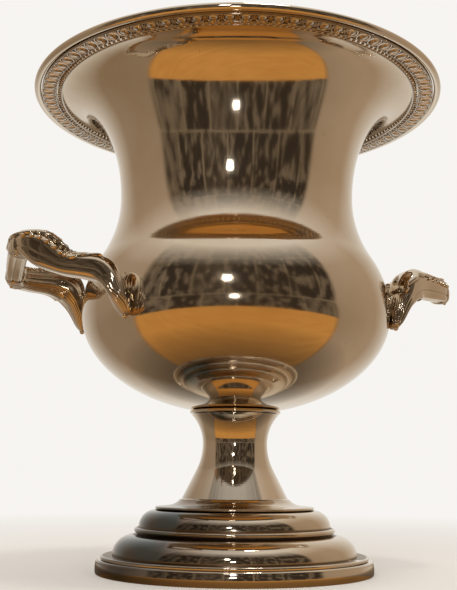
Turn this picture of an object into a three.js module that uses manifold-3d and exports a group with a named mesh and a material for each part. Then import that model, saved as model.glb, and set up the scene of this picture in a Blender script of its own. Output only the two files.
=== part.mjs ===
// Silver-plated champagne bucket of campana form: a spun bell-shaped body with an
// everted ornamented lip, a trumpet stem on a stepped round foot, and two cast
// loop handles. Millimetres, +Z up, origin at the centre of the foot's underside.
// The handles lie on the X axis.

import * as THREE from 'three';
import { mergeVertices } from 'three/addons/utils/BufferGeometryUtils.js';
import Module from 'manifold-3d';

// Driving dimensions
const segments = 36;          // facets round a turned piece
const smallSegments = 18;     // facets round the fastenings
const gap = 0.3;              // clearance between neighbouring pieces
const rimRadius = 114.3;      // over the rolled wire at the lip
const rimWireRadius = 1.9;
const lipZ = 258.6;           // underside of the flat lip
const bodyWall = 1.4;
const bowlBottomZ = 82;       // lowest point of the bowl
const bellyRadius = 83.8;     // widest part of the bowl
const bellyZ = 135;
const neckRadius = 64.6;      // narrowest part of the neck
const neckZ = 199;
const lipInnerRadius = 99;    // where the flare turns flat
const footRadius = 72.3;      // over the edge band
const bandHeight = 7.2;
const stemBaseZ = 37.6;
const stemWaistZ = 66;
const stemWaistRadius = 17.2;
const stemTopZ = 81.6;
const stemFlare = 27;         // slope of the stem's straight lower part, degrees from upright
const stemWall = 1.4;
const studRadius = 3;

const degrees = Math.PI / 180;

// Points along an arc of an ellipse in the (radius, height) plane
function arc(centreR, centreZ, radiusR, radiusZ, fromDegrees, toDegrees, steps) {
  const points = [];
  for (let i = 0; i <= steps; i += 1) {
    const angle = (fromDegrees + ((toDegrees - fromDegrees) * i) / steps) * degrees;
    points.push(new THREE.Vector2(
      centreR + radiusR * Math.cos(angle),
      centreZ + radiusZ * Math.sin(angle),
    ));
  }
  return points;
}

function point(r, z) {
  return new THREE.Vector2(r, z);
}

// Joins runs of points, leaving out any that repeat the one before
function chain(...runs) {
  const points = [];
  for (const next of runs.flat()) {
    const last = points[points.length - 1];
    if (!last || last.distanceTo(next) > 1e-4) points.push(next);
  }
  return points;
}

// Moves every point of an open profile sideways, to the right of its direction
function offsetProfile(points, distance) {
  return points.map((p, i) => {
    const before = points[Math.max(i - 1, 0)];
    const after = points[Math.min(i + 1, points.length - 1)];
    const along = after.clone().sub(before).normalize();
    const moved = p.clone().add(point(along.y, -along.x).multiplyScalar(distance));
    if (p.x < 1e-6) moved.x = 0;
    return moved;
  });
}

// Revolves a profile about the Z axis; it starts and ends on the axis, or is closed here
function turned(profile, facets = segments) {
  const onAxis = profile[0].x < 1e-6 && profile[profile.length - 1].x < 1e-6;
  const outline = onAxis ? [...profile] : [...profile, profile[0].clone()];
  if (THREE.ShapeUtils.area(profile) < 0) outline.reverse();
  return new THREE.LatheGeometry(outline, facets).rotateX(Math.PI / 2);
}

// Outer surface of the body, from the pole of the bowl to the edge of the lip
function bodyProfile() {
  const halfSweep = Math.atan2(bellyRadius - neckRadius, neckZ - bellyZ);
  const sweep = 2 * halfSweep / degrees;
  const radiusSum = (neckZ - bellyZ) / Math.sin(2 * halfSweep);
  const shoulderArc = 0.45 * radiusSum;
  const neckArc = radiusSum - shoulderArc;
  const lipEdge = rimRadius - 2 * rimWireRadius - gap;
  return chain(
    arc(0, bellyZ, bellyRadius, bellyZ - bowlBottomZ, -90, 0, 8),
    arc(bellyRadius - shoulderArc, bellyZ, shoulderArc, shoulderArc, 0, sweep, 3),
    arc(neckRadius + neckArc, neckZ, neckArc, neckArc, 180 + sweep, 180, 3),
    arc(lipInnerRadius, neckZ, lipInnerRadius - neckRadius, lipZ - neckZ, 180, 90, 6),
    [point(lipEdge, lipZ)],
  );
}

function bodyShell() {
  const outside = bodyProfile();
  const inside = offsetProfile(outside, -bodyWall).reverse();
  return turned([...outside, ...inside]);
}

// Round wire bent to a ring
function wireRing(ringRadius, centreZ, wireRadius, sides) {
  const section = arc(ringRadius, centreZ, wireRadius, wireRadius, 0, 360, sides);
  section.pop();
  return turned(section);
}

// Flat strip under the lip that carries the ornament
function rimBorder() {
  const inner = lipInnerRadius + 3.2;
  const outer = rimRadius - 2 * rimWireRadius - gap;
  const top = lipZ - gap;
  return turned([
    point(inner, top),
    point(inner, top - 0.8),
    point(inner + 1.2, top - 2.0),
    point(outer - 1.4, top - 2.0),
    point(outer, top - 0.9),
    point(outer, top),
  ]);
}

// Bead between the bowl and the stem
function stemCollar() {
  return turned([
    point(17.5, stemTopZ + gap),
    point(22.8, stemTopZ + gap),
    ...arc(23.4, stemTopZ + 1.3, 1.0, 0.9, -60, 60, 2),
    point(22.6, stemTopZ + 2.1),
    point(17.5, stemTopZ + 1.1),
  ]);
}

// Trumpet stem: an arc above the waist, an arc and a straight flare below it
function stem() {
  const upperArc = 22.5;
  const lowerArc = 30;
  const rise = Math.asin((stemTopZ - stemWaistZ) / upperArc) / degrees;
  const lower = arc(stemWaistRadius + lowerArc, stemWaistZ, lowerArc, lowerArc, 180 + stemFlare, 180, 4);
  const baseRadius = lower[0].x + (lower[0].y - stemBaseZ) * Math.tan(stemFlare * degrees);
  const outside = chain(
    [point(baseRadius, stemBaseZ)],
    lower,
    arc(stemWaistRadius + upperArc, stemWaistZ, upperArc, upperArc, 180, 180 - rise, 4),
  );
  const inside = offsetProfile(outside, -stemWall);
  inside[0].y = stemBaseZ;
  inside[inside.length - 1].y = stemTopZ;
  return turned([...outside, ...inside.reverse()]);
}

// Stepped foot, spun from sheet: a shallow cone, two convex steps and a ledge
function foot() {
  const plateZ = stemBaseZ - gap;
  const bore = studRadius + 0.5;
  const outside = chain(
    [point(bore, plateZ), point(28.9, plateZ), point(41.2, 33.4)],
    arc(41.2, 32.8, 0.7, 0.6, 90, -90, 2),
    [point(40.3, 31.7)],
    arc(42.0, 23.0, 8.3, 8.7, 90, 0, 3),
    arc(51.3, 21.5, 1.3, 1.3, 80, -80, 2),
    [point(50.8, 19.2)],
    arc(53.0, 9.5, 10.6, 9.7, 90, 0, 3),
    [point(63.6, 8.9), point(68.9, 8.9)],
    arc(68.9, 8.2, 0.7, 0.7, 90, 0, 2),
    [point(69.6, bandHeight + gap)],
  );
  const inside = chain(
    [point(62.3, bandHeight + gap)],
    arc(53.0, 9.5, 9.3, 8.2, 0, 90, 3),
    [point(49.5, 18.2)],
    arc(42.0, 23.0, 6.8, 6.9, 0, 90, 3),
    [point(39.2, 30.2), point(28.6, 35.7), point(bore, 35.7)],
  );
  return turned([...outside, ...inside]);
}

// Solid edge band that the foot stands on
function footBand() {
  return turned([
    point(66.4, 0),
    point(footRadius - 0.7, 0),
    point(footRadius, 0.7),
    point(footRadius, bandHeight - 1.2),
    ...arc(footRadius - 1.1, bandHeight - 1.1, 1.1, 1.1, 20, 90, 2),
    point(66.4, bandHeight),
  ]);
}

// Threaded boss soldered under the bowl
function bowlBoss() {
  const top = bowlBottomZ - gap;
  const bore = studRadius + gap;
  return turned([
    point(0, top - 0.8),
    point(bore, top - 0.8),
    point(bore, top - 6),
    point(13.5, top - 6),
    point(13.5, top),
    point(0, top),
  ], smallSegments);
}

function tieStud() {
  const low = 24.5;
  const high = bowlBottomZ - 2 * gap - 0.8;
  return turned([
    point(0, low),
    point(studRadius - 0.6, low),
    point(studRadius, low + 0.6),
    point(studRadius, high),
    point(0, high),
  ], smallSegments);
}

function washer(outer, low, thickness) {
  const bore = studRadius + 0.4;
  return turned([
    point(bore, low),
    point(outer, low),
    point(outer, low + thickness),
    point(bore, low + thickness),
  ], smallSegments);
}

function hexNut(acrossFlats, low, height) {
  const outline = new THREE.Shape();
  const corner = acrossFlats / 2 / Math.cos(30 * degrees);
  for (let i = 0; i < 6; i += 1) {
    const angle = i * 60 * degrees;
    const x = corner * Math.cos(angle);
    const y = corner * Math.sin(angle);
    if (i === 0) outline.moveTo(x, y);
    else outline.lineTo(x, y);
  }
  outline.closePath();
  const bore = new THREE.Path();
  bore.absarc(0, 0, studRadius + gap, 0, 2 * Math.PI, true);
  outline.holes.push(bore);
  const options = { depth: height, bevelEnabled: false, curveSegments: 10 };
  return new THREE.ExtrudeGeometry(outline, options).translate(0, 0, low);
}

// A loop handle, from the tip of one tail on the bowl over the outer bar to the tip
// of the other: place of the section's centre, its width and its height. The cast
// leaves run one way round the loop, so its two arms differ.
const handleStations = [
  { at: [76.9, -36, 127], width: 9.5, height: 4 },
  { at: [79, -36, 132], width: 12.5, height: 7.5 },
  { at: [81.4, -35.7, 138.6], width: 15, height: 9.5 },
  { at: [84.4, -35.1, 144.6], width: 16, height: 12.5 },
  { at: [89.4, -33.6, 151], width: 16, height: 18.5 },
  { at: [98.2, -30, 152.6], width: 12.5, height: 15.5 },
  { at: [108.2, -26, 152.2], width: 12, height: 13.5 },
  { at: [115.6, -20.8, 152.2], width: 11, height: 12.5 },
  { at: [118.6, -12.5, 153.4], width: 11, height: 11.5 },
  { at: [119.2, 0, 157.2], width: 11.6, height: 11 },
  { at: [119, 12.5, 160.2], width: 12.4, height: 11.5 },
  { at: [116.8, 21.4, 160.8], width: 13.5, height: 12.5 },
  { at: [108.8, 28, 156.6], width: 14.5, height: 18.5 },
  { at: [98.8, 34.2, 149.6], width: 14.5, height: 13 },
  { at: [90, 40.2, 147.6], width: 15, height: 13.5 },
  { at: [82.4, 44.8, 145.4], width: 16, height: 14.5 },
  { at: [77.6, 47.2, 139], width: 17, height: 11.5 },
  { at: [74.6, 48.2, 131], width: 16, height: 8.6 },
  { at: [70.6, 48, 122.8], width: 11, height: 4.4 },
];

// Closed skin over rings of points, with a fan at each end
function loft(rings) {
  const sides = rings[0].length;
  const positions = rings.flat().flatMap((p) => [p.x, p.y, p.z]);
  const index = [];
  for (let i = 0; i + 1 < rings.length; i += 1) {
    for (let j = 0; j < sides; j += 1) {
      const a = i * sides + j;
      const b = i * sides + ((j + 1) % sides);
      index.push(a, b + sides, b, a, a + sides, b + sides);
    }
  }
  const last = (rings.length - 1) * sides;
  for (let j = 1; j + 1 < sides; j += 1) {
    index.push(0, j, j + 1);
    index.push(last, last + j + 1, last + j);
  }
  const geometry = new THREE.BufferGeometry();
  geometry.setAttribute('position', new THREE.Float32BufferAttribute(positions, 3));
  geometry.setIndex(index);
  return geometry;
}

// Rounded section square to the path; its width lies level
function handleSection(centre, direction, width, height) {
  const sides = 12;
  const level = new THREE.Vector3(direction.y, -direction.x, 0).normalize();
  const rise = new THREE.Vector3().crossVectors(level, direction).normalize();
  const ring = [];
  for (let j = 0; j < sides; j += 1) {
    const angle = ((j + 0.5) / sides) * 2 * Math.PI;
    const squared = (value) => Math.sign(value) * Math.abs(value) ** 0.6;
    ring.push(centre.clone()
      .addScaledVector(level, (width / 2) * squared(Math.cos(angle)))
      .addScaledVector(rise, (height / 2) * squared(Math.sin(angle))));
  }
  return ring;
}

function handleLoop() {
  const path = new THREE.CatmullRomCurve3(
    handleStations.map(({ at }) => new THREE.Vector3(...at)),
    false,
    'centripetal',
  );
  const perStation = 2;
  const count = (handleStations.length - 1) * perStation;
  const rings = [];
  for (let i = 0; i <= count; i += 1) {
    const before = handleStations[Math.floor(i / perStation)];
    const after = handleStations[Math.ceil(i / perStation)];
    const share = (i % perStation) / perStation;
    rings.push(handleSection(
      path.getPoint(i / count),
      path.getTangent(i / count),
      before.width + (after.width - before.width) * share,
      before.height + (after.height - before.height) * share,
    ));
  }
  return loft(rings);
}

const wasm = await Module();
wasm.setup();

function toSolid(geometry) {
  const bare = geometry.clone();
  bare.deleteAttribute('normal');
  bare.deleteAttribute('uv');
  const merged = mergeVertices(bare, 1e-4);
  return new wasm.Manifold(new wasm.Mesh({
    numProp: 3,
    vertProperties: new Float32Array(merged.attributes.position.array),
    triVerts: new Uint32Array(merged.index.array),
  }));
}

function toGeometry(solid) {
  const mesh = solid.getMesh();
  const geometry = new THREE.BufferGeometry();
  geometry.setAttribute('position', new THREE.Float32BufferAttribute(mesh.vertProperties, 3));
  geometry.setIndex(new THREE.Uint32BufferAttribute(mesh.triVerts, 1));
  return geometry;
}

// Handle casting, its tails trimmed to lie against the bowl
function handleCasting() {
  const clearBody = offsetProfile(bodyProfile(), gap);
  const top = clearBody[clearBody.length - 1];
  const keepOut = turned([...clearBody, point(0, top.y)]);
  return toGeometry(toSolid(handleLoop()).subtract(toSolid(keepOut)));
}

const silver = { color: 0xb9ab97, roughness: 0.12, metalness: 1 };
const innerSilver = { color: 0xa79a86, roughness: 0.3, metalness: 1 };
const steel = { color: 0x8c8f92, roughness: 0.45, metalness: 1 };

const bucket = new THREE.Group();

function addPiece(name, geometry, finish) {
  const mesh = new THREE.Mesh(geometry, new THREE.MeshStandardMaterial(finish));
  mesh.name = name;
  bucket.add(mesh);
  return mesh;
}

const wireCentre = rimRadius - rimWireRadius;
addPiece('body_shell', bodyShell(), silver);
addPiece('rim_wire', wireRing(wireCentre, lipZ + 0.8, rimWireRadius, 8), silver);
addPiece('rim_border', rimBorder(), silver);
addPiece('rim_bead', wireRing(lipInnerRadius + 1.4, lipZ - gap - 1.1, 1.1, 6), silver);
addPiece('stem_collar', stemCollar(), silver);
addPiece('stem', stem(), silver);
addPiece('foot', foot(), silver);
addPiece('foot_band', footBand(), silver);
addPiece('bowl_boss', bowlBoss(), innerSilver);
addPiece('tie_stud', tieStud(), steel);
addPiece('foot_washer', washer(12.5, 33.8, 1.6), steel);
addPiece('lock_washer', washer(5.8, 32.2, 1.3), steel);
addPiece('hex_nut', hexNut(10, 26.9, 5), steel);
addPiece('handle_right', handleCasting(), silver);
addPiece('handle_left', handleCasting(), silver).rotation.z = Math.PI;

export default bucket;
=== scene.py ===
import math

import bpy
import numpy as np
from mathutils import Matrix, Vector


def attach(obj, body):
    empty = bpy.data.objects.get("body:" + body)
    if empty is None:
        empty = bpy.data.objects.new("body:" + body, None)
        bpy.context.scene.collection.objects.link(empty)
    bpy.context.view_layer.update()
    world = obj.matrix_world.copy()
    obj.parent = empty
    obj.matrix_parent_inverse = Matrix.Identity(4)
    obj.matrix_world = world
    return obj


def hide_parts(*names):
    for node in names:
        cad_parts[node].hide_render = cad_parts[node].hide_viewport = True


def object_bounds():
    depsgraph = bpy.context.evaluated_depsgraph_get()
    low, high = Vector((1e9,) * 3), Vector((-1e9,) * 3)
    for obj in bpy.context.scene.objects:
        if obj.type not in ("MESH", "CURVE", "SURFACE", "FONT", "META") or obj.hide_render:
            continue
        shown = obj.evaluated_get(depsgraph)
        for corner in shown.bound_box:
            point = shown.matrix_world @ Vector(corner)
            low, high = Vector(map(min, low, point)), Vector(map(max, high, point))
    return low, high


# Silver-plated champagne bucket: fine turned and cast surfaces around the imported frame.
# Lengths in the pieces' dictionaries are millimetres, and mm turns them into metres.
# The studio at the end is in metres.

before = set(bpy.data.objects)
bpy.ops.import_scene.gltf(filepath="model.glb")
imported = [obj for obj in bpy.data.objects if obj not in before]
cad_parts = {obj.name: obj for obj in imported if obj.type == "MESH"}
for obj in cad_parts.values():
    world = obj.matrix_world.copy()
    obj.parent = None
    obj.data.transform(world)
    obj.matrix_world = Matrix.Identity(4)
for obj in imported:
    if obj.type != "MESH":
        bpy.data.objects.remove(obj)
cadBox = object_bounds()
mm = 0.001
fullTurn = 2 * math.pi


def clearSelection():
    if bpy.context.object and bpy.context.object.mode != "OBJECT":
        bpy.ops.object.mode_set(mode="OBJECT")
    bpy.ops.object.select_all(action="DESELECT")


def selectOnly(*objs):
    clearSelection()
    for obj in objs:
        obj.select_set(True)
    bpy.context.view_layer.objects.active = objs[0]


def joinInto(target, *others):
    selectOnly(target, *others)
    bpy.ops.object.join()
    return target


def applyModifiers(piece):
    selectOnly(piece)
    for modifier in list(piece.modifiers):
        bpy.ops.object.modifier_apply(modifier=modifier.name)


def finishPiece(piece, name, material, slot, *nodes, smoothAngle=35):
    selectOnly(piece)
    bpy.ops.object.transform_apply(location=True, rotation=True, scale=True)
    bpy.ops.object.shade_smooth_by_angle(angle=math.radians(smoothAngle))
    piece.name = name
    piece.data.name = name
    piece.data.materials.clear()
    piece.data.materials.append(material)
    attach(piece, "root")
    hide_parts(*nodes)
    print("made", name, len(piece.data.polygons), "faces")
    return piece


# ---- outlines in the (radius, height) plane

def arc(centre, radii, fromDegrees, toDegrees, steps):
    angles = np.radians(np.linspace(fromDegrees, toDegrees, steps + 1))
    return [(centre[0] + radii[0] * math.cos(a), centre[1] + radii[1] * math.sin(a)) for a in angles]


def chain(*runs):
    points = []
    for run in runs:
        for point in run if isinstance(run, list) else [run]:
            if not points or math.dist(points[-1], point) > 1e-3:
                points.append(point)
    return points


# moves an outline to its right, which is outward for one drawn upward
def offsetOutline(points, distance):
    line = np.array(points)
    ahead = np.gradient(line, axis=0)
    ahead /= np.linalg.norm(ahead, axis=1)[:, None]
    moved = line + distance * np.stack([ahead[:, 1], -ahead[:, 0]], 1)
    moved[:, 0] = np.maximum(moved[:, 0], 0)
    return [tuple(p) for p in moved]


# one vertex is drawn along the outline and spun about the bucket's axis
def turnPiece(outline, around, turn=fullTurn):
    clearSelection()
    startR, startZ = outline[0]
    bpy.ops.mesh.primitive_plane_add(size=mm, location=(startR * mm, 0, startZ * mm))
    piece = bpy.context.object
    bpy.ops.object.mode_set(mode="EDIT")
    bpy.ops.mesh.merge(type="CENTER")
    for (r0, z0), (r1, z1) in zip(outline, outline[1:]):
        step = ((r1 - r0) * mm, 0, (z1 - z0) * mm)
        bpy.ops.mesh.extrude_vertices_move(TRANSFORM_OT_translate={"value": step})
    bpy.ops.mesh.select_all(action="SELECT")
    bpy.ops.mesh.spin(steps=around, angle=turn, center=(0, 0, 0), axis=(0, 0, 1))
    bpy.ops.mesh.select_all(action="SELECT")
    bpy.ops.mesh.remove_doubles(threshold=0.002 * mm)
    if turn < fullTurn:
        bpy.ops.mesh.fill_holes(sides=0)
    bpy.ops.mesh.select_all(action="SELECT")
    bpy.ops.mesh.normals_make_consistent(inside=False)
    bpy.ops.object.mode_set(mode="OBJECT")
    return piece


# a small model on the +X side is repeated all the way round
def repeatRound(piece, repeats):
    selectOnly(piece)
    bpy.ops.object.transform_apply(location=True, rotation=True, scale=True)
    bpy.ops.object.mode_set(mode="EDIT")
    bpy.ops.mesh.select_all(action="SELECT")
    share = (repeats - 1) / repeats
    bpy.ops.mesh.spin(steps=repeats - 1, dupli=True, angle=fullTurn * share, center=(0, 0, 0), axis=(0, 0, 1))
    bpy.ops.object.mode_set(mode="OBJECT")
    return piece


# ---- finishes

def addNode(tree, kind, inputs=None, **settings):
    node = tree.nodes.new(kind)
    for key, value in settings.items():
        setattr(node, key, value)
    for key, value in (inputs or {}).items():
        if isinstance(value, bpy.types.NodeSocket):
            tree.links.new(value, node.inputs[key])
        else:
            node.inputs[key].default_value = value
    return node


def startMaterial(name):
    material = bpy.data.materials.new(name)
    material.use_nodes = True
    tree = material.node_tree
    shader = tree.nodes["Principled BSDF"]
    return material, tree, shader


# the surface point, and a vector of its radius, a little of its x and its height, so that a
# pattern read at that vector runs round the axis
def turnedCoordinates(tree, swirl):
    place = addNode(tree, "ShaderNodeTexCoord").outputs["Object"]
    parts = addNode(tree, "ShaderNodeSeparateXYZ", {0: place})
    flat = addNode(tree, "ShaderNodeCombineXYZ", {0: parts.outputs[0], 1: parts.outputs[1]})
    radius = addNode(tree, "ShaderNodeVectorMath", {0: flat.outputs[0]}, operation="LENGTH")
    side = addNode(tree, "ShaderNodeMath", {0: parts.outputs[0], 1: swirl}, operation="MULTIPLY")
    return place, addNode(tree, "ShaderNodeCombineXYZ", {
        0: radius.outputs["Value"], 1: side.outputs[0], 2: parts.outputs[2]}).outputs[0]


def mixColour(tree, factor, first, second):
    node = addNode(tree, "ShaderNodeMix", {0: factor}, data_type="RGBA")
    for index, value in ((6, first), (7, second)):
        if isinstance(value, bpy.types.NodeSocket):
            tree.links.new(value, node.inputs[index])
        else:
            node.inputs[index].default_value = (*value, 1)
    return node.outputs[2]


def ramp(tree, value, low, high, toLow=0.0, toHigh=1.0):
    return addNode(tree, "ShaderNodeMapRange", {
        "Value": value, "From Min": low, "From Max": high, "To Min": toLow, "To Max": toHigh}).outputs[0]


# noise pattern: patches per metre, detail and roughness
def noise(tree, vector, scale, detail, roughness=0.5):
    return addNode(tree, "ShaderNodeTexNoise", {
        "Vector": vector, "Scale": scale, "Detail": detail, "Roughness": roughness}).outputs[0]


# first * second + third
def multiplyAdd(tree, first, second, third):
    node = addNode(tree, "ShaderNodeMath", {0: first, 1: second, 2: third}, operation="MULTIPLY_ADD")
    return node.outputs[0]


silverFinish = {
    "bright": (0.78, 0.695, 0.585),    # polished plate, a little yellowed
    "warm": (0.70, 0.59, 0.45),        # cloudy patches
    "tarnish": (0.17, 0.115, 0.07),    # what polish leaves in the hollows
    "worn": (0.93, 0.86, 0.75), "wear": 0.5,   # edges rubbed bright, and how much
    "stainBlue": (0.105, 0.13, 0.14), "stainBrown": (0.19, 0.105, 0.07),
    "cloudScale": 16, "speckScale": 330, "speckDepth": 0.35,
    "roughness": (0.045, 0.13), "tarnishRoughness": 0.35,
    "spinMarks": 1500,                 # marks per metre of outline
    "castGrain": 900,                  # grains per metre
    "swirl": 0.02,
    "scratchDepth": 0.10, "scratchHeight": 0.00006,
    "waveScale": 38, "waveHeight": 9.0,        # slow unevenness, in scratch heights
}


# a dark iridescent patch with a ragged edge; it is strongest within a share of its reach
def addStain(tree, place, clouds, colour, stain):
    look = silverFinish
    raggedBy, core = 0.03, 0.45
    away = addNode(tree, "ShaderNodeVectorMath", {0: place, 1: stain["at"]}, operation="DISTANCE")
    ragged = multiplyAdd(tree, clouds, raggedBy, away.outputs["Value"])
    patch = ramp(tree, ragged, stain["reach"], stain["reach"] * core, 0.0, stain["depth"])
    hue = mixColour(tree, ramp(tree, clouds, 0.40, 0.60), look["stainBlue"], look["stainBrown"])
    return mixColour(tree, patch, colour, hue)


# hollows: how strongly tarnish gathers where the surface turns inward
def silverPlate(name, hollows, spun, marks=1.0, tone=(1, 1, 1), stain=None):
    look = silverFinish
    bright, warm = ([a * b for a, b in zip(look[key], tone)] for key in ("bright", "warm"))
    material, tree, shader = startMaterial(name)
    place, turned = turnedCoordinates(tree, look["swirl"])
    clouds = noise(tree, place, look["cloudScale"], 4, 0.55)
    specks = noise(tree, place, look["speckScale"], 3, 0.6)
    colour = mixColour(tree, ramp(tree, clouds, 0.42, 0.72), bright, warm)
    spots = ramp(tree, specks, 0.70, 0.78, 0.0, look["speckDepth"])
    colour = mixColour(tree, spots, colour, look["tarnish"])
    bend = addNode(tree, "ShaderNodeNewGeometry").outputs["Pointiness"]
    hollow = ramp(tree, bend, 0.497, 0.470, 0.0, hollows)      # pointiness is 0.5 on a flat
    edge = ramp(tree, bend, 0.51, 0.56, 0.0, look["wear"])
    if stain:
        colour = addStain(tree, place, clouds, colour, stain)
    colour = mixColour(tree, hollow, colour, look["tarnish"])
    colour = mixColour(tree, edge, colour, look["worn"])
    tree.links.new(colour, shader.inputs["Base Color"])
    shader.inputs["Metallic"].default_value = 1.0
    haze = ramp(tree, clouds, 0.35, 0.75, look["roughness"][0], look["roughness"][1])
    tree.links.new(multiplyAdd(tree, hollow, look["tarnishRoughness"], haze), shader.inputs["Roughness"])
    if spun:
        lines = noise(tree, turned, look["spinMarks"], 2)
    else:
        lines = noise(tree, place, look["castGrain"], 3, 0.6)
    waves = noise(tree, place, look["waveScale"], 2)
    bump = addNode(tree, "ShaderNodeBump", {
        "Height": multiplyAdd(tree, waves, look["waveHeight"], lines),
        "Strength": look["scratchDepth"] * marks, "Distance": look["scratchHeight"]})
    tree.links.new(bump.outputs[0], shader.inputs["Normal"])
    return material


fixingFinish = {
    "brass": {"bright": (0.71, 0.50, 0.24), "dull": (0.42, 0.27, 0.12), "roughness": 0.24},
    "steel": {"bright": (0.56, 0.55, 0.52), "dull": (0.33, 0.30, 0.27), "roughness": 0.32},
    "roughnessGain": 0.22,             # where it has dulled
    "stainScale": 140, "turningMarks": 2600, "swirl": 0.3,
    "markStrength": 0.25, "markHeight": 0.0001,
}


def fixingMetal(name, metal):
    look = fixingFinish
    shade = look[metal]
    material, tree, shader = startMaterial(name)
    place, turned = turnedCoordinates(tree, look["swirl"])
    stain = noise(tree, place, look["stainScale"], 5)
    lines = noise(tree, turned, look["turningMarks"], 2)
    colour = mixColour(tree, ramp(tree, stain, 0.45, 0.7), shade["bright"], shade["dull"])
    tree.links.new(colour, shader.inputs["Base Color"])
    shader.inputs["Metallic"].default_value = 1.0
    smooth, rough = shade["roughness"], shade["roughness"] + look["roughnessGain"]
    tree.links.new(ramp(tree, stain, 0.3, 0.8, smooth, rough), shader.inputs["Roughness"])
    bump = addNode(tree, "ShaderNodeBump", {
        "Height": lines, "Strength": look["markStrength"], "Distance": look["markHeight"]})
    tree.links.new(bump.outputs[0], shader.inputs["Normal"])
    return material


# painted shade: this tone darkens the border's and beading's silver so that what they mirror looks darker
# than on the spun pieces
borderShadeTone = (0.49, 0.51, 0.56)        # the border is darker than the spun pieces
footStain = {"at": (-0.056, -0.016, 0.018), "reach": 0.078, "depth": 1.0}    # metres
bodySilver = silverPlate("spunSilverBody", 0.55, True)
shadedRimSilver = silverPlate("castSilverBorderShaded", 1.0, False, marks=1.5, tone=borderShadeTone)
footSilver = silverPlate("spunSilverFoot", 0.75, True, stain=footStain)
handleSilver = silverPlate("castSilverHandle", 0.9, False, marks=1.6)
brassMetal = fixingMetal("turnedBrass", "brass")
steelMetal = fixingMetal("zincedSteel", "steel")
print("finishes ready")


# ---- body

bucketBody = {
    "around": 192,
    "wall": 1.4,
    "bottomZ": 82.0, "bellyZ": 135.0, "bellyRadius": 83.8,
    "neckZ": 199.0, "neckRadius": 64.6,
    "lipRadius": 99.0, "lipZ": 258.6, "lipEdge": 110.2,
    "shoulderShare": 0.45,             # of the shoulder and neck arcs' joint radius
}


def bodyOutline():
    look = bucketBody
    fall = look["bellyRadius"] - look["neckRadius"]
    climb = look["neckZ"] - look["bellyZ"]
    sweep = 2 * math.atan2(fall, climb)
    shoulder = look["shoulderShare"] * climb / math.sin(sweep)
    neck = (1 - look["shoulderShare"]) * climb / math.sin(sweep)
    turned = math.degrees(sweep)
    flare = (look["lipRadius"] - look["neckRadius"], look["lipZ"] - look["neckZ"])
    return chain(
        arc((0, look["bellyZ"]), (look["bellyRadius"], look["bellyZ"] - look["bottomZ"]), -90, 0, 44),
        arc((look["bellyRadius"] - shoulder, look["bellyZ"]), (shoulder, shoulder), 0, turned, 16),
        arc((look["neckRadius"] + neck, look["neckZ"]), (neck, neck), 180 + turned, 180, 16),
        arc((look["lipRadius"], look["neckZ"]), flare, 180, 90, 40),
        (look["lipEdge"], look["lipZ"]),
    )


def makeBody():
    outside = bodyOutline()
    inside = offsetOutline(outside, -bucketBody["wall"])
    inside[0] = (0, inside[0][1])
    piece = turnPiece(outside + inside[::-1], bucketBody["around"])
    return finishPiece(piece, "bucketBody", bodySilver, "silver_body", "body_shell", smoothAngle=50)


makeBody()


# ---- rim: rolled wire, ornamented border and beading under the lip

rimRoll = {"around": 240, "radius": 112.4, "z": 259.4, "wire": 1.9}


def makeRimRoll():
    look = rimRoll
    roll = arc((look["radius"], look["z"]), (look["wire"], look["wire"]), -150, 210, 28)
    piece = turnPiece(roll, look["around"])
    return finishPiece(piece, "rimRoll", bodySilver, "silver_rim", "rim_wire", smoothAngle=60)


rimBorder = {
    "repeats": 88, "around": 176,
    "inner": 102.2, "outer": 110.2, "topZ": 258.3, "groundZ": 257.55,
    "eggAt": 106.1, "eggLength": 5.9, "eggWidth": 4.3, "eggDepth": 1.2,
    "eggTaper": 0.28,                  # narrower towards the bowl
    "collarLength": 7.3, "collarWidth": 6.1, "collarWire": 0.42, "collarDrop": 0.15,
    "dartLength": 6.4, "dartWidth": 1.25, "dartTip": 0.24, "dartDrop": 0.35,
    "fillet": 0.38, "filletDepth": 1.9,        # half width, and depth in half widths
}


def makeEgg(look):
    clearSelection()
    bpy.ops.mesh.primitive_uv_sphere_add(
        segments=12, ring_count=7, radius=0.5, rotation=(0, math.pi / 2, 0),
        location=(look["eggAt"] * mm, 0, look["groundZ"] * mm))
    egg = bpy.context.object
    bpy.ops.object.transform_apply(location=False, rotation=True, scale=False)
    egg.scale = (look["eggLength"] * mm, look["eggWidth"] * mm, 2 * look["eggDepth"] * mm)
    bpy.ops.object.transform_apply(location=False, rotation=False, scale=True)
    for vertex in egg.data.vertices:
        vertex.co.y *= 1 + look["eggTaper"] * vertex.co.x / (look["eggLength"] * mm / 2)
    return egg


def makeCollar(look):
    clearSelection()
    wire = 0.07                        # of a collar one unit across, before it is scaled
    bpy.ops.mesh.primitive_torus_add(
        major_segments=20, minor_segments=6, major_radius=0.5, minor_radius=wire,
        location=(look["eggAt"] * mm, 0, (look["groundZ"] - look["collarDrop"]) * mm))
    collar = bpy.context.object
    collar.scale = (look["collarLength"] * mm, look["collarWidth"] * mm, look["collarWire"] * mm / wire)
    bpy.ops.object.transform_apply(location=False, rotation=False, scale=True)
    return collar


def makeDart(look):
    clearSelection()
    half = math.pi / look["repeats"]
    bpy.ops.mesh.primitive_cone_add(
        vertices=6, radius1=look["dartWidth"] * mm / 2, radius2=look["dartTip"] * mm / 2,
        depth=look["dartLength"] * mm, rotation=(0, -math.pi / 2, half),
        location=(look["eggAt"] * math.cos(half) * mm, look["eggAt"] * math.sin(half) * mm,
                  (look["groundZ"] - look["dartDrop"]) * mm))
    return bpy.context.object


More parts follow.
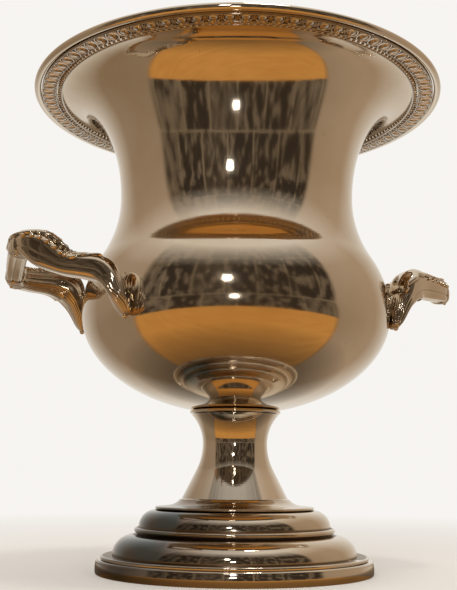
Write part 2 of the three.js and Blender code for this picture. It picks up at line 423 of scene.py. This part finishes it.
def makeRimBorder():
    look = rimBorder
    fillet = (look["fillet"], look["fillet"] * look["filletDepth"])
    inner, outer, top, ground = look["inner"], look["outer"], look["topZ"], look["groundZ"]
    strip = chain(
        (inner, top),
        (inner, ground),
        arc((inner + fillet[0], ground), fillet, 180, 360, 8),
        arc((outer - fillet[0], ground), fillet, 180, 360, 8),
        (outer, top),
        (inner, top),
    )
    ring = turnPiece(strip, look["around"])
    motif = joinInto(makeEgg(look), makeCollar(look), makeDart(look))
    repeatRound(motif, look["repeats"])
    joinInto(ring, motif)
    return finishPiece(ring, "rimBorder", shadedRimSilver, "silver_rim", "rim_border", smoothAngle=50)


rimBeading = {
    "beads": 208, "radius": 100.7, "z": 257.35, "bead": 0.85,
    "around": 192, "wireRadius": 99.35, "wireZ": 257.2, "wire": 0.5,
}


def makeRimBeading():
    look = rimBeading
    clearSelection()
    bpy.ops.mesh.primitive_uv_sphere_add(
        segments=8, ring_count=5, radius=look["bead"] * mm, location=(look["radius"] * mm, 0, look["z"] * mm))
    beads = repeatRound(bpy.context.object, look["beads"])
    section = arc((look["wireRadius"], look["wireZ"]), (look["wire"], look["wire"]), 0, 360, 12)
    wire = turnPiece(section, look["around"])
    joinInto(wire, beads)
    return finishPiece(wire, "rimBeading", shadedRimSilver, "silver_rim", "rim_bead", smoothAngle=60)


makeRimRoll()
makeRimBorder()
makeRimBeading()
print("rim done")


# ---- stem and foot

stemLook = {
    "around": 128, "wall": 1.4,
    "baseZ": 37.6, "waistZ": 66.0, "waistRadius": 17.2, "topZ": 81.6,
    "lowerRadius": 30.0, "upperRadius": 22.5,
    "flare": 27.0,                     # of the straight run below the lower arc, degrees
    "collarInner": 17.5, "collarZ": 81.9,
}


def makeStem():
    look = stemLook
    lower, upper = look["lowerRadius"], look["upperRadius"]
    upperSweep = math.degrees(math.asin((look["topZ"] - look["waistZ"]) / upper))
    flared = arc((look["waistRadius"] + lower, look["waistZ"]), (lower, lower), 180 + look["flare"], 180, 20)
    baseRadius = flared[0][0] + (flared[0][1] - look["baseZ"]) * math.tan(math.radians(look["flare"]))
    outside = chain(
        (baseRadius, look["baseZ"]),
        flared,
        arc((look["waistRadius"] + upper, look["waistZ"]), (upper, upper), 180, 180 - upperSweep, 16),
    )
    inside = offsetOutline(outside, -look["wall"])
    inside[0] = (inside[1][0], look["baseZ"])
    inside[-1] = (inside[-1][0], look["topZ"])
    piece = turnPiece(chain(outside, inside[::-1], outside[0]), look["around"])
    return finishPiece(piece, "trumpetStem", footSilver, "silver_foot", "stem", smoothAngle=50)


def makeStemCollar():
    inner, bottom = stemLook["collarInner"], stemLook["collarZ"]
    outline = chain(
        (inner, bottom),
        (22.6, bottom),
        arc((23.4, 82.85), (1.0, 0.92), -80, 80, 14),
        (22.6, 83.7),
        (inner, 82.7),
        (inner, bottom),
    )
    piece = turnPiece(outline, stemLook["around"])
    return finishPiece(piece, "stemCollar", footSilver, "silver_foot", "stem_collar")


footLook = {
    "around": 192, "ledgeZ": 8.9, "hubRadius": 3.5, "topZ": 37.3, "plateUnderZ": 35.7,
    "bandRadius": 72.28, "bandCrown": 14.0,    # the band's side is slightly rounded
    "bandInner": 66.4, "bandTopZ": 7.2,
}


def makeFoot():
    look = footLook
    outside = chain(
        (look["hubRadius"], look["topZ"]),
        (28.3, look["topZ"]),
        arc((36.4, 40.0), (8.4, 6.0), 207, 262, 10),
        arc((41.2, 32.8), (0.7, 0.7), 90, -90, 10),
        (40.3, 31.7),
        arc((42.0, 23.0), (8.3, 8.7), 90, 0, 18),
        arc((51.3, 21.5), (1.3, 1.3), 80, -80, 12),
        (50.8, 19.2),
        arc((53.0, 9.5), (10.6, 9.7), 90, 0, 20),
        (63.6, look["ledgeZ"]),
        (68.7, look["ledgeZ"]),
        arc((68.9, 8.2), (0.7, 0.7), 90, 0, 6),
        (69.6, 7.5),
    )
    inside = chain(
        (62.3, 7.5),
        arc((53.0, 9.5), (9.3, 8.2), 0, 90, 14),
        (49.5, 18.2),
        arc((42.0, 23.0), (6.8, 6.9), 0, 90, 12),
        (39.2, 30.2),
        (28.6, look["plateUnderZ"]),
        (look["hubRadius"], look["plateUnderZ"]),
        outside[0],
    )
    piece = turnPiece(chain(outside, inside), look["around"])
    return finishPiece(piece, "steppedFoot", footSilver, "silver_foot", "foot")


def makeFootBand():
    look = footLook
    crown = look["bandCrown"]
    outline = chain(
        (look["bandInner"], 0),
        (71.4, 0),
        arc((71.45, 0.7), (0.7, 0.7), -90, -8, 6),
        arc((look["bandRadius"] - crown, 2.6), (crown, crown), -8, 14, 12),
        arc((70.8, 6.1), (1.1, 1.1), 14, 90, 10),
        (look["bandInner"], look["bandTopZ"]),
        (look["bandInner"], 0),
    )
    piece = turnPiece(outline, look["around"])
    return finishPiece(piece, "footBand", footSilver, "silver_foot", "foot_band")


makeStemCollar()
makeStem()
makeFoot()
makeFootBand()
print("stem and foot done")


# ---- fixings inside the stem and under the foot

fixings = {
    "around": 64, "bore": 3.4,
    "threadFrom": 24.9, "threadTo": 36.0, "pitch": 1.0, "studRadius": 3.0, "threadDepth": 0.45,
    "washerEdge": 0.2,
    "footWasher": {"radius": 12.5, "low": 33.8, "high": 35.4},
    "lockWasher": {"radius": 5.8, "low": 32.2, "high": 33.5},
    "lockWasherTurn": 348,             # degrees, the rest is its split
    "nutFlats": 10.0, "nutLow": 26.9, "nutHigh": 31.9, "nutHole": 3.3,
    "nutCrown": (0.98, 1.18, 0.5),     # flat and corner radii in half flats, and the chamfer's height
}


def makeBoss():
    outline = chain(
        (0, 80.9),
        (3.3, 80.9),
        (3.3, 76.2),
        (3.8, 75.7),
        (12.9, 75.7),
        arc((12.9, 76.3), (0.6, 0.6), -90, 0, 4),
        (13.5, 81.2),
        (13.0, 81.7),
        (0, 81.7),
    )
    piece = turnPiece(outline, fixings["around"])
    return finishPiece(piece, "bowlBoss", brassMetal, "brass_inside", "bowl_boss")


def makeStud():
    look = fixings
    root = look["studRadius"] - look["threadDepth"]
    thread = []                        # drawn as a stack of rings
    turns = int((look["threadTo"] - look["threadFrom"]) / look["pitch"])
    for i in range(turns):
        z = look["threadFrom"] + i * look["pitch"]
        thread += [(root, z), (look["studRadius"], z + look["pitch"] / 2)]
    outline = chain(
        (0, 24.5),
        (root - 0.3, 24.5),
        thread,
        (root, look["threadTo"]),
        (look["studRadius"], look["threadTo"] + 0.6),
        (look["studRadius"], 80.1),
        (2.5, 80.6),
        (0, 80.6),
    )
    piece = turnPiece(outline, 40)
    return finishPiece(piece, "tieStud", brassMetal, "brass_inside", "tie_stud", smoothAngle=20)


def makeWasher(name, node, look, turn=fullTurn):
    edge = fixings["washerEdge"]
    inner, outer, low, high = fixings["bore"], look["radius"], look["low"], look["high"]
    outline = chain(
        (inner, low + edge),
        (inner + edge, low),
        (outer - edge, low),
        (outer, low + edge),
        (outer, high - edge),
        (outer - edge, high),
        (inner + edge, high),
        (inner, high - edge),
        (inner, low + edge),
    )
    piece = turnPiece(outline, fixings["around"], turn)
    return finishPiece(piece, name, steelMetal, "steel_fixing", node)


def makeNut():
    look = fixings
    half, low, high = look["nutFlats"] / 2, look["nutLow"], look["nutHigh"]
    flat, corner, chamfer = look["nutCrown"]
    middle = (0, 0, (low + high) / 2 * mm)
    clearSelection()
    bpy.ops.mesh.primitive_cylinder_add(
        vertices=6, radius=2 * half / math.sqrt(3) * mm, depth=(high - low) * mm, location=middle)
    nut = bpy.context.object
    bpy.ops.mesh.primitive_cylinder_add(
        vertices=40, radius=look["nutHole"] * mm, depth=4 * (high - low) * mm, location=middle)
    hole = bpy.context.object
    crown = turnPiece(chain(
        (0, low),
        (half * flat, low),
        (half * corner, low + chamfer),
        (half * corner, high - chamfer),
        (half * flat, high),
        (0, high),
    ), 48)
    for tool, operation in ((crown, "INTERSECT"), (hole, "DIFFERENCE")):
        cut = nut.modifiers.new(operation, "BOOLEAN")
        cut.object = tool
        cut.operation = operation
        cut.solver = "EXACT"
    applyModifiers(nut)
    for tool in (crown, hole):
        bpy.data.objects.remove(tool)
    return finishPiece(nut, "hexNut", steelMetal, "steel_fixing", "hex_nut", smoothAngle=20)


makeBoss()
makeStud()
makeWasher("footWasher", "foot_washer", fixings["footWasher"])
makeWasher("lockWasher", "lock_washer", fixings["lockWasher"], math.radians(fixings["lockWasherTurn"]))
makeNut()
print("fixings done")


# ---- handles

# One loop, from the tip of the first tail over the outer bar to the tip of the second.
# at: x, y, z of the core; size: width across and height of the section.
handleCore = [
    {"at": (76.9, -36, 127), "size": (9.5, 4)},
    {"at": (79, -36, 132), "size": (12.5, 7.5)},
    {"at": (81.4, -35.7, 138.6), "size": (15, 9.5)},
    {"at": (84.4, -35.1, 144.6), "size": (16, 12.5)},
    {"at": (89.4, -33.6, 151), "size": (16, 18.5)},
    {"at": (98.2, -30, 152.6), "size": (12.5, 15.5)},
    {"at": (108.2, -26, 152.2), "size": (12, 13.5)},
    {"at": (115.6, -20.8, 152.2), "size": (11, 12.5)},
    {"at": (118.6, -12.5, 153.4), "size": (11, 11.5)},
    {"at": (119.2, 0, 157.2), "size": (11.6, 11)},
    {"at": (119, 12.5, 160.2), "size": (12.4, 11.5)},
    {"at": (116.8, 21.4, 160.8), "size": (13.5, 12.5)},
    {"at": (108.8, 28, 156.6), "size": (14.5, 18.5)},
    {"at": (98.8, 34.2, 149.6), "size": (14.5, 13)},
    {"at": (90, 40.2, 147.6), "size": (15, 13.5)},
    {"at": (82.4, 44.8, 145.4), "size": (16, 14.5)},
    {"at": (77.6, 47.2, 139), "size": (17, 11.5)},
    {"at": (74.6, 48.2, 131), "size": (16, 8.6)},
    {"at": (70.6, 48, 122.8), "size": (11, 4.4)},
]
handleLook = {
    "rings": 330, "around": 132,
    "squareness": 0.72,                # 1 is an ellipse, less is squarer
    "ground": 0.75,                    # how far the core lies under the full section
    "reeds": 22, "reedDepth": 0.30,
    "plainArms": (2.0, 3.6, 15.0, 16.8),   # the reeding fades out and comes back at these stations
    "innerReeds": 0.6,                 # how much of the reeding stays on the loop's inner side
    "flutes": 5, "fluteDepth": 0.55,       # broad soft hollows along the plain arms
    "tipRound": 0.022,                 # share of the loop over which a tail's tip is rounded
    "tipBall": 1.5, "ballOut": 1.6, "ballUp": 0.8,     # radius, and its place from the tip
    "bindings": (7.35, 10.45),         # stations of the two ribbed bindings
    "bindingReach": 0.5, "ribPitch": 0.27, "ribHeight": 0.6,
    "knob": 1.15, "knobAngle": 62, "knobSink": 0.2,
    "seat": 0.25,                      # how far a tail may sink into the bowl's outline
    "clear": 0.05,                     # kept to the object's box
}
# Cast leaves: stations from base to tip, angle of the midrib round the section
# (0 outward, 90 on top), spread to each side, lobes to a side and height.
handleLeaves = [
    {"base": 2.9, "tip": 6.9, "midrib": (86, 66), "spread": 78, "lobes": 5, "height": 1.9},
    {"base": 6.4, "tip": 9.3, "midrib": (74, 92), "spread": 50, "lobes": 4, "height": 1.1},
    {"base": 9.2, "tip": 13.3, "midrib": (84, 72), "spread": 88, "lobes": 6, "height": 2.0},
    {"base": 12.9, "tip": 15.0, "midrib": (58, 50), "spread": 52, "lobes": 3, "height": 1.2},
]
# Sprays of small leaflets on the leaves: the stations and angles they cover.
handleSprays = [
    {"from": 5.2, "to": 7.2, "angles": (36, 104), "rows": 4, "length": 3.9},
    {"from": 11.2, "to": 13.5, "angles": (34, 108), "rows": 5, "length": 4.1},
]
leafletLook = {
    "inRow": 7, "lean": 34,            # degrees to either side, row by row
    "sink": -0.3,                      # below zero it stands off the section
    "taper": 0.45, "crease": 0.35, "creaseWidth": 2.2,     # of a leaflet two units long
    "width": 0.24, "thickness": 0.30,  # in lengths
}


# smooth curve through the rows of a table, at parameters from 0 to the last row
def throughPoints(rows, at):
    table = np.array(rows, float)
    padded = np.vstack([2 * table[0] - table[1], table, 2 * table[-1] - table[-2]])
    index = np.clip(np.floor(at).astype(int), 0, len(table) - 2)
    t = (at - index)[:, None]
    a, b, c, d = (padded[index + k] for k in range(4))
    slope = c - a
    bend = 2 * a - 5 * b + 4 * c - d
    twist = 3 * b - a - 3 * c + d
    return 0.5 * (2 * b + slope * t + bend * t ** 2 + twist * t ** 3)


def easeIn(value, low, high):
    t = np.clip((value - low) / (high - low), 0, 1)
    return t * t * (3 - 2 * t)


# a lobed leaf: raised edge, hollow blades, a midrib and slanting veins; its tip lifts
def leafRelief(station, angle, leaf):
    u = (station - leaf["base"]) / (leaf["tip"] - leaf["base"])
    along = np.clip(u, 0, 1)
    midrib = np.radians(leaf["midrib"][0] + (leaf["midrib"][1] - leaf["midrib"][0]) * along)
    v = (np.mod(angle - midrib + math.pi, fullTurn) - math.pi) / math.radians(leaf["spread"])
    side = np.abs(v)
    beat = leaf["lobes"] * (along - 0.22 * side)
    lobe = np.abs(np.sin(math.pi * beat)) ** 0.55
    outline = (1 - along) ** 0.62 * (0.62 + 0.38 * np.sin(math.pi * np.minimum(along * 1.7, 1)))
    width = outline * (0.70 + 0.30 * lobe) + 1e-6
    inside = easeIn(width - side, 0, 0.11) * easeIn(u, 0, 0.05) * (u < 1)
    dish = 0.55 + 0.45 * np.clip(side / width, 0, 1) ** 2
    rib = 0.30 * np.exp(-(v / 0.075) ** 2) - 0.22 * (1 - lobe) * easeIn(side, 0.05, 0.2)
    lift = 0.45 * easeIn(along, 0.70, 0.95)
    return inside, inside * (dish + rib + lift) * leaf["height"]


def handleRelief(station, angle):
    look = handleLook
    reed = (np.abs(np.sin(angle * look["reeds"] / 2)) ** 0.6 - 1) * look["reedDepth"]
    out0, out1, back0, back1 = look["plainArms"]
    plain = easeIn(station, out0, out1) * (1 - easeIn(station, back0, back1))
    inward = easeIn(-np.cos(angle), 0.1, 0.5)
    flute = (np.abs(np.sin(angle * look["flutes"] / 2 + 0.5)) ** 0.8 - 1) * look["fluteDepth"]
    relief = reed * (1 - plain * (1 - look["innerReeds"] * inward)) + flute * plain
    for place in look["bindings"]:
        apart = station - place + 0.12 * np.sin(angle)         # the ribs lie a little askew
        window = 1 - easeIn(np.abs(apart), 0.84 * look["bindingReach"], look["bindingReach"])
        ribs = 0.35 + 0.65 * np.abs(np.sin(apart * math.pi / look["ribPitch"])) ** 0.7
        relief = relief * (1 - window) + window * ribs * look["ribHeight"]
    for leaf in handleLeaves:
        inside, height = leafRelief(station, angle, leaf)
        relief = np.where(inside > 0, relief * (1 - inside) + np.maximum(height, relief * inside), relief)
    return relief


# the loop's centre line with its section's size and its three directions, ring by ring
def handleRings():
    rings = handleLook["rings"]
    station = np.linspace(0, len(handleCore) - 1, rings + 1)
    centre = throughPoints([row["at"] for row in handleCore], station)
    size = throughPoints([row["size"] for row in handleCore], station)
    ahead = np.gradient(centre, axis=0)
    ahead /= np.linalg.norm(ahead, axis=1)[:, None]
    level = np.stack([ahead[:, 1], -ahead[:, 0], 0 * ahead[:, 0]], 1)
    level /= np.linalg.norm(level, axis=1)[:, None]
    rise = np.cross(level, ahead)
    return {"station": station, "centre": centre, "size": size, "ahead": ahead, "level": level, "rise": rise}


def handleSurface(loop):
    look = handleLook
    share = np.linspace(0, 1, look["rings"] + 1)
    nearTip = np.clip(np.minimum(share, 1 - share) / look["tipRound"], 0, 1)
    closing = (np.sqrt(1 - (1 - nearTip) ** 2) * 0.98 + 0.02)[:, None]
    angle = np.linspace(0, fullTurn, look["around"] + 1)[None]
    cosine, sine = np.cos(angle), np.sin(angle)
    relief = handleRelief(loop["station"][:, None], angle) - look["ground"]
    square = look["squareness"]
    across = (loop["size"][:, :1] / 2 + relief) * closing * np.sign(cosine) * np.abs(cosine) ** square
    up = (loop["size"][:, 1:] / 2 + relief) * closing * np.sign(sine) * np.abs(sine) ** square
    points = loop["centre"][:, None] + loop["level"][:, None] * across[..., None]
    points = points + loop["rise"][:, None] * up[..., None]
    bowl = np.array(bodyOutline())
    bowlRadius = np.interp(points[..., 2], bowl[:, 1], bowl[:, 0]) - look["seat"]
    push = np.maximum(bowlRadius / np.hypot(points[..., 0], points[..., 1]), 1)
    points[..., :2] *= push[..., None]
    points[..., 0] = np.minimum(points[..., 0], cadBox[1].x / mm - look["clear"])
    return points


def nearestRing(station):
    return int(round(station / (len(handleCore) - 1) * handleLook["rings"]))


# a point round the section, and the direction out of the casting there
def onSection(loop, station, degrees, sink):
    ring = nearestRing(station)
    turn = math.radians(degrees)
    width, height = loop["size"][ring]
    level, rise = loop["level"][ring], loop["rise"][ring]
    across, up = (width / 2 - sink) * math.cos(turn), (height / 2 - sink) * math.sin(turn)
    return loop["centre"][ring] + level * across + rise * up, level * math.cos(turn) + rise * math.sin(turn)


def addBall(piece, at, radius):
    clearSelection()
    bpy.ops.mesh.primitive_uv_sphere_add(
        segments=12, ring_count=8, radius=radius * mm, location=[c * mm for c in at])
    return joinInto(piece, bpy.context.object)


# grow: the way it points; out: away from the casting
def addLeaflet(piece, at, length, grow, out):
    look = leafletLook
    clearSelection()
    bpy.ops.mesh.primitive_uv_sphere_add(segments=10, ring_count=8, radius=mm, location=[c * mm for c in at])
    leaflet = bpy.context.object
    for vertex in leaflet.data.vertices:        # broad at the base, a crease down the middle
        x, y, z = vertex.co
        vertex.co.y *= 1 - look["taper"] * x / mm
        if z > 0:
            vertex.co.z -= look["crease"] * max(mm - look["creaseWidth"] * abs(y), 0)
    across = np.cross(out, grow)
    leaflet.rotation_mode = "QUATERNION"
    leaflet.rotation_quaternion = Matrix((grow, across, out)).transposed().to_quaternion()
    leaflet.scale = (length / 2, length * look["width"], length * look["thickness"])
    return joinInto(piece, leaflet)


def addSpray(piece, loop, spray):
    look = leafletLook
    low, high = spray["angles"]
    pitch = (high - low) / (spray["rows"] - 1)
    for i in range(look["inRow"]):
        for j in range(spray["rows"]):
            station = spray["from"] + (spray["to"] - spray["from"]) * (i + 0.5 * (j % 2)) / look["inRow"]
            ahead = loop["ahead"][nearestRing(station)]
            at, out = onSection(loop, station, low + pitch * j, look["sink"])
            lean = math.radians(look["lean"]) * (1 if j % 2 else -1)
            grow = ahead * math.cos(lean) + np.cross(ahead, out) * math.sin(lean)
            length = spray["length"] * (0.85 + 0.15 * math.sin(5.1 * i + 2.3 * j))     # no two quite alike
            addLeaflet(piece, at, length, grow, out)


def makeHandle(name, node, turnedRound):
    look = handleLook
    loop = handleRings()
    clearSelection()
    bpy.ops.mesh.primitive_grid_add(x_subdivisions=look["around"], y_subdivisions=look["rings"], size=mm)
    piece = bpy.context.object
    piece.data.vertices.foreach_set("co", (handleSurface(loop) * mm).astype(np.float32).ravel())
    piece.data.update()
    bpy.ops.object.mode_set(mode="EDIT")
    bpy.ops.mesh.select_all(action="SELECT")
    bpy.ops.mesh.remove_doubles(threshold=0.002 * mm)
    bpy.ops.mesh.fill_holes(sides=0)
    bpy.ops.mesh.select_all(action="SELECT")
    bpy.ops.mesh.normals_make_consistent(inside=False)
    bpy.ops.object.mode_set(mode="OBJECT")
    for end in (0, -1):
        tip = loop["centre"][end]
        outward = tip * (1, 1, 0) / np.linalg.norm(tip[:2])
        addBall(piece, tip + look["ballOut"] * outward + (0, 0, look["ballUp"]), look["tipBall"])
    for station in look["bindings"]:
        for degrees in (look["knobAngle"], -look["knobAngle"]):
            addBall(piece, onSection(loop, station, degrees, look["knobSink"])[0], look["knob"])
    for spray in handleSprays:
        addSpray(piece, loop, spray)
    if turnedRound:
        selectOnly(piece)
        bpy.ops.object.transform_apply(location=True, rotation=True, scale=True)
        piece.rotation_euler.z = math.pi
    return finishPiece(piece, name, handleSilver, "silver_handle", node, smoothAngle=60)


makeHandle("handleRight", "handle_right", False)
makeHandle("handleLeft", "handle_left", True)
print("handles done")


# ---- floor, light and camera

studio = {
    "floorSize": 8.0,
    "floorColour": (0.86, 0.84, 0.81),
    "skyBright": (0.93, 0.91, 0.88),
    "cameraDistance": 0.4988, "cameraHeight": 0.0495, "frontAzimuth": -18.0,
    "cameraPitch": 11.1, "cameraRoll": 0.45, "cameraSide": -0.0041, "lens": 56.15,
    "aimHeight": 0.14,                 # of the point that the lamps face
}
# What the silver mirrors: a warm cloth at the sides, paler behind, and a dim panelled room with a
# wooden top in front.
mirrored = {
    "cloth": (0.43, 0.335, 0.25), "clothLow": (0.30, 0.22, 0.148),
    "clothRight": (0.50, 0.375, 0.26), "clothBack": (0.80, 0.76, 0.70),
    "ceiling": (0.74, 0.68, 0.60),
    "wood": (0.70, 0.35, 0.095), "woodDark": (0.47, 0.21, 0.048),
    "woodReach": 0.42,                 # metres in front of the bucket
    "eyeHeight": 0.2,                  # of the silver that mirrors the floor, metres
    "footShadowReach": (0.05, 0.20), "footShadowDepth": 0.88,    # dim round the foot, metres and share
    # painted shadow: the floor's mirrored picture is darkened round the foot
    "panel": (0.040, 0.029, 0.020), "panelLight": (0.19, 0.145, 0.10),
    "frame": (0.26, 0.20, 0.13),
    "panelWidth": 0.41, "panelHeight": 0.95,   # radians and slope
    "frontWidth": (1.24, 1.32),        # where the room gives way to the cloth, radians
}


# level directions to the studio's front, where the camera and the room are, and to its right
def frontAndRight():
    azimuth = math.radians(studio["frontAzimuth"])
    front = (math.sin(azimuth), -math.cos(azimuth), 0)
    right = (math.cos(azimuth), math.sin(azimuth), 0)
    return front, right


# turn from the front, growing to the right, and level reach of a place or a direction
def roomDirections(tree, way):
    ahead, aside = (
        addNode(tree, "ShaderNodeVectorMath", {0: way, 1: axis}, operation="DOT_PRODUCT").outputs["Value"]
        for axis in frontAndRight())
    turn = addNode(tree, "ShaderNodeMath", {0: aside, 1: ahead}, operation="ARCTAN2").outputs[0]
    flat = addNode(tree, "ShaderNodeCombineXYZ", {0: ahead, 1: aside}).outputs[0]
    reach = addNode(tree, "ShaderNodeVectorMath", {0: flat}, operation="LENGTH").outputs["Value"]
    return turn, reach


def divide(tree, above, below):
    return addNode(tree, "ShaderNodeMath", {0: above, 1: below}, operation="DIVIDE").outputs[0]


# 1 where the room is mirrored, 0 where the cloth is
def frontShare(tree, turn):
    off = addNode(tree, "ShaderNodeMath", {0: turn}, operation="ABSOLUTE").outputs[0]
    return ramp(tree, off, mirrored["frontWidth"][0], mirrored["frontWidth"][1], 1.0, 0.0)


# the mirrored surroundings, from the direction's azimuth and slope
def roomPicture(tree, turn, slope):
    look = mirrored
    spread = addNode(tree, "ShaderNodeCombineXYZ", {0: turn, 1: slope}).outputs[0]
    panels = addNode(tree, "ShaderNodeTexBrick", {
        "Vector": spread, "Color1": (*look["panel"], 1), "Color2": (*look["panelLight"], 1),
        "Mortar": (*look["frame"], 1), "Scale": 1.0, "Mortar Size": 0.014, "Mortar Smooth": 0.6,
        "Bias": -0.25, "Brick Width": look["panelWidth"], "Row Height": look["panelHeight"]},
        offset=0.37, offset_frequency=2).outputs["Color"]
    upright = addNode(tree, "ShaderNodeMapping", {"Vector": spread, "Scale": (11, 4, 1)}).outputs[0]
    clutter = noise(tree, upright, 1.0, 5)
    room = mixColour(tree, ramp(tree, clutter, 0.50, 0.62, 0.0, 0.85), panels, look["panelLight"])
    room = mixColour(tree, ramp(tree, clutter, 0.47, 0.36, 0.0, 0.9), room, look["panel"])
    cloth = mixColour(tree, ramp(tree, slope, -0.3, 0.9), look["clothLow"], look["cloth"])
    cloth = mixColour(tree, ramp(tree, turn, 0.9, 1.9, 0.0, 0.6), cloth, look["clothRight"])
    away = addNode(tree, "ShaderNodeMath", {0: turn}, operation="ABSOLUTE").outputs[0]
    cloth = mixColour(tree, ramp(tree, away, 2.1, 2.9), cloth, look["clothBack"])
    shown = mixColour(tree, frontShare(tree, turn), cloth, room)
    return mixColour(tree, ramp(tree, slope, 0.7, 1.7), shown, look["ceiling"])


# what the camera sees: plain and pale near the bucket, and far off it melts into the backdrop
def paleFloor(tree, shader, place, reach):
    colour = studio["floorColour"]
    grain = mixColour(tree, noise(tree, place, 3.0, 3), colour, tuple(0.97 * c for c in colour))
    tree.links.new(grain, shader.inputs["Base Color"])
    shader.inputs["Roughness"].default_value = 0.7
    glow = addNode(tree, "ShaderNodeEmission", {"Color": (*studio["skyBright"], 1)})
    melt = ramp(tree, reach, 0.08, 0.75, 0.25, 1.0)
    both = addNode(tree, "ShaderNodeMixShader", {0: melt, 1: shader.outputs[0], 2: glow.outputs[0]})
    return both.outputs[0]


# painted reflection: the floor glows, for every ray but the camera's, with what the silver mirrors of it: the
# wooden top in front, the room beyond, and a painted shadow round the foot
def mirroredFloor(tree, place, turn, reach):
    look = mirrored
    planks = addNode(tree, "ShaderNodeMapping", {"Vector": place, "Scale": (9, 60, 1)}).outputs[0]
    wood = mixColour(tree, noise(tree, planks, 1.0, 4), look["wood"], look["woodDark"])
    beyond = roomPicture(tree, turn, divide(tree, -look["eyeHeight"], reach))
    edge = ramp(tree, reach, look["woodReach"], look["woodReach"] + 0.02, 1.0, 0.0)
    onWood = addNode(tree, "ShaderNodeMath", {0: frontShare(tree, turn), 1: edge}, operation="MULTIPLY")
    under = mixColour(tree, onWood.outputs[0], beyond, wood)
    # painted shadow round the foot, in the panels' dark colour
    under = mixColour(tree, ramp(tree, reach, *look["footShadowReach"], look["footShadowDepth"], 0.0), under, look["panel"])
    return addNode(tree, "ShaderNodeEmission", {"Color": under}).outputs[0]


def makeFloor():
    clearSelection()
    bpy.ops.mesh.primitive_plane_add(size=studio["floorSize"])
    floor = bpy.context.object
    floor.name = "floor"
    material, tree, shader = startMaterial("paleFloor")
    place = addNode(tree, "ShaderNodeTexCoord").outputs["Object"]
    turn, reach = roomDirections(tree, place)
    seenFloor = paleFloor(tree, shader, place, reach)
    image = mirroredFloor(tree, place, turn, reach)
    seen = addNode(tree, "ShaderNodeLightPath").outputs["Is Camera Ray"]
    both = addNode(tree, "ShaderNodeMixShader", {0: seen, 1: image, 2: seenFloor})
    tree.links.new(both.outputs[0], tree.nodes["Material Output"].inputs["Surface"])
    floor.data.materials.append(material)


# pale behind the bucket, with the mirrored room only in reflections
def makeRoom():
    world = bpy.data.worlds.new("warmRoom")
    bpy.context.scene.world = world
    world.use_nodes = True
    tree = world.node_tree
    background = tree.nodes["Background"]
    way = addNode(tree, "ShaderNodeTexCoord").outputs["Generated"]
    turn, reach = roomDirections(tree, way)
    height = addNode(tree, "ShaderNodeSeparateXYZ", {0: way}).outputs[2]
    shown = roomPicture(tree, turn, divide(tree, height, reach))
    seen = addNode(tree, "ShaderNodeLightPath").outputs["Is Camera Ray"]
    tree.links.new(mixColour(tree, seen, shown, studio["skyBright"]), background.inputs["Color"])


softLights = [
    {"name": "keyLight", "at": (-1.1, -1.3, 1.1), "size": 0.9, "power": 12, "colour": (1.0, 0.95, 0.88),
     "mirrored": False},
    {"name": "fillLight", "at": (0.5, -1.6, 0.7), "size": 0.7, "power": 6, "colour": (1.0, 0.94, 0.86),
     "mirrored": False},
    {"name": "topLight", "at": (0.15, -0.35, 1.9), "size": 0.30, "power": 9, "colour": (1.0, 0.95, 0.88),
     "mirrored": True},
    {"name": "frontLight", "at": (-0.175, -0.50, 0.10), "size": 0.035, "power": 0.06,
     "colour": (1.0, 0.96, 0.90), "mirrored": True},
    {"name": "windowLight", "at": (-0.55, -1.2, 0.62), "size": 0.10, "power": 0.8,
     "colour": (1.0, 0.95, 0.88), "mirrored": True},
]


def makeLights():
    for light in softLights:
        clearSelection()
        bpy.ops.object.light_add(type="AREA", location=light["at"])
        lamp = bpy.context.object
        lamp.name = light["name"]
        lamp.data.size = light["size"]
        lamp.data.energy = light["power"]
        lamp.data.color = light["colour"]
        aim = -lamp.location
        aim.z += studio["aimHeight"]
        lamp.rotation_euler = aim.to_track_quat("-Z", "Y").to_euler()
        lamp.visible_camera = False
        lamp.visible_glossy = light["mirrored"]


def makeCamera():
    look = studio
    front, right = frontAndRight()
    bpy.ops.object.camera_add(location=(
        front[0] * look["cameraDistance"] + right[0] * look["cameraSide"],
        front[1] * look["cameraDistance"] + right[1] * look["cameraSide"],
        look["cameraHeight"]))
    camera = bpy.context.object
    camera.rotation_euler = (
        math.radians(90 + look["cameraPitch"]), 0, math.radians(look["frontAzimuth"]))
    camera.rotation_euler.rotate_axis("Z", math.radians(look["cameraRoll"]))
    camera.data.lens = look["lens"]
    camera.data.clip_start = 0.01
    bpy.context.scene.camera = camera


makeFloor()
makeRoom()
makeLights()
makeCamera()
bpy.context.scene.view_settings.view_transform = "Standard"
print("studio ready")
